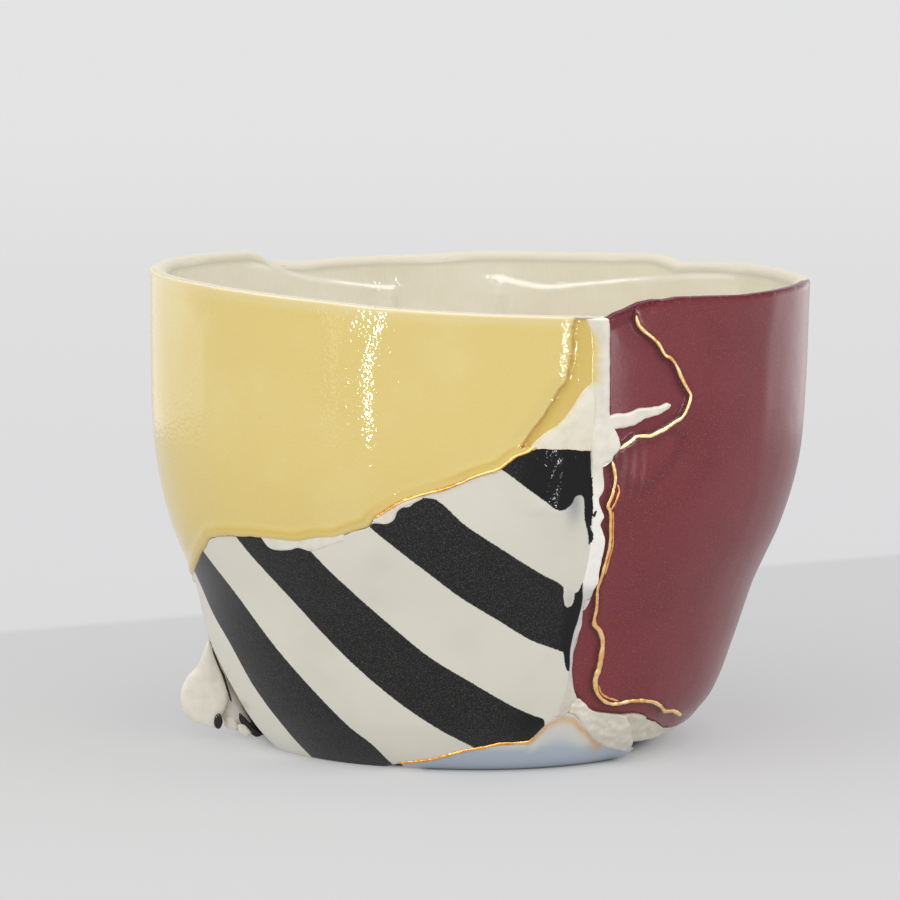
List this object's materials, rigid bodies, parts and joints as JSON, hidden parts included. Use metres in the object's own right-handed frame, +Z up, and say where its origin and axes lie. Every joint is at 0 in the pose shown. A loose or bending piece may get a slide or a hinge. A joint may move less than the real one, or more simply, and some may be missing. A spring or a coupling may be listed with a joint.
{
  "type": "kintsugi coffee cup",
  "caption": "Handleless porcelain coffee cup made of joined coloured shards round a cast ivory cup, with gold lines along the broken edges; stands on its flat foot.",
  "frame": {"origin": "on the surface that the cup stands on, below the middle of the cup's box", "axes": "+Z up through the mouth, -Y towards the front with the stripes, +X towards the burgundy side"},
  "size_m": [0.0888, 0.0899, 0.064],
  "materials": {
    "ivory_porcelain": "ivory porcelain, glossy inside and matte where it came out of the joins",
    "yellow_porcelain": "clear gloss glaze over yellow porcelain",
    "striped_porcelain": "satin black and ivory stripes",
    "burgundy_porcelain": "clear gloss glaze over burgundy porcelain",
    "pale_blue_porcelain": "gloss glaze, pale blue shading to ivory",
    "black_porcelain": "gloss black glaze",
    "gold": "bright gold, slightly uneven"
  },
  "bodies": {
    "root": {"porcelain_lining": "ivory_porcelain", "yellow_shard": "yellow_porcelain", "striped_shard": "striped_porcelain", "burgundy_shard": "burgundy_porcelain", "pale_blue_foot": "pale_blue_porcelain", "black_shard": "black_porcelain", "pale_blue_shard": "pale_blue_porcelain", "striped_back_shard": "striped_porcelain", "gold_line_yellow": "gold", "gold_line_loop": "gold", "gold_line_burgundy": "gold", "gold_line_foot": "gold", "gold_line_back": "gold"}
  },
  "joints": []
}
